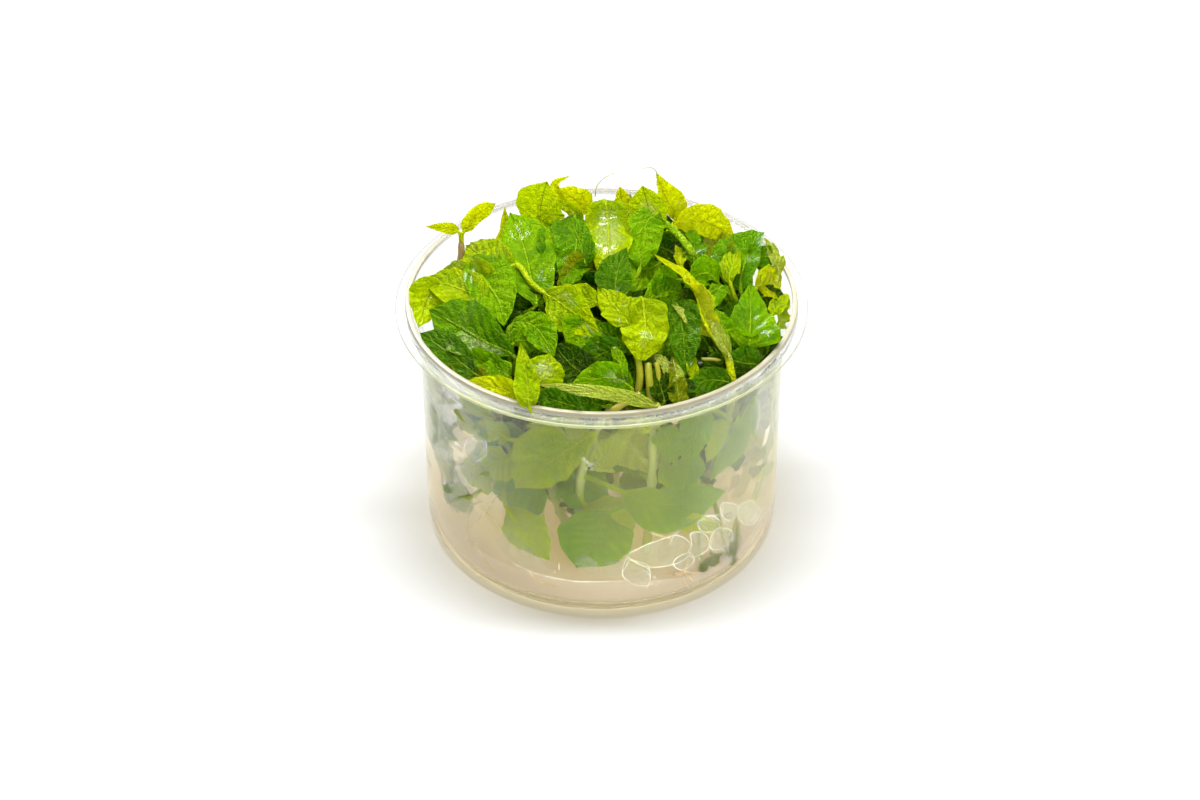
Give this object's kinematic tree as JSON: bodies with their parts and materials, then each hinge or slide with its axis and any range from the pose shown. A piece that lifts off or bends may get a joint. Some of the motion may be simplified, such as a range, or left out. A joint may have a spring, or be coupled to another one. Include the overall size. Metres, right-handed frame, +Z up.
{
  "type": "hygrophila in a tissue-culture cup",
  "caption": "Leafy aquarium plant clump on thin stems, standing in a layer of nutrient gel in a round, clear, open plastic culture cup with a flanged rim",
  "frame": {"origin": "centre of the cup's foot, on the surface it stands on", "axes": "+Z up along the cup's axis; -Y towards the plant's pictured side; +X to its right in the picture"},
  "size_m": [0.1, 0.1, 0.0817],
  "materials": {
    "cup": "clear, slightly milky",
    "gel": "moist, translucent",
    "stem": "satin",
    "leaf_young": "glossy leaf",
    "leaf_mid": "glossy leaf",
    "leaf_deep": "glossy leaf",
    "leaf_pale": "glossy leaf"
  },
  "bodies": {
    "root": {"cup": "cup", "gel": "gel", "stem_01": "stem", "stem_02": "stem", "stem_03": "stem", "stem_04": "stem", "stem_05": "stem", "stem_06": "stem", "stem_07": "stem", "stem_08": "stem", "stem_09": "stem", "stem_10": "stem", "stem_11": "stem", "stem_12": "stem", "stem_13": "stem", "leaf_01": "leaf_young", "leaf_02": "leaf_young", "leaf_03": "leaf_young", "leaf_04": "leaf_mid", "leaf_05": "leaf_deep", "leaf_06": "leaf_pale", "leaf_07": "leaf_mid", "leaf_08": "leaf_young", "leaf_09": "leaf_deep", "leaf_10": "leaf_young", "leaf_11": "leaf_deep", "leaf_12": "leaf_young", "leaf_13": "leaf_young", "leaf_14": "leaf_mid", "leaf_15": "leaf_mid", "leaf_16": "leaf_mid", "leaf_17": "leaf_young", "leaf_18": "leaf_young", "leaf_19": "leaf_deep", "leaf_20": "leaf_deep", "leaf_21": "leaf_young", "leaf_22": "leaf_young", "leaf_23": "leaf_mid", "leaf_24": "leaf_mid", "leaf_25": "leaf_deep", "leaf_26": "leaf_young", "leaf_27": "leaf_young", "leaf_28": "leaf_deep", "leaf_29": "leaf_mid", "leaf_30": "leaf_pale", "leaf_31": "leaf_deep", "leaf_32": "leaf_young", "leaf_33": "leaf_young", "leaf_34": "leaf_young", "leaf_35": "leaf_mid", "leaf_36": "leaf_deep", "leaf_37": "leaf_young", "leaf_38": "leaf_young", "leaf_39": "leaf_mid", "leaf_40": "leaf_mid", "leaf_41": "leaf_mid", "leaf_42": "leaf_deep", "leaf_43": "leaf_mid", "leaf_44": "leaf_deep", "leaf_45": "leaf_mid"}
  },
  "joints": []
}
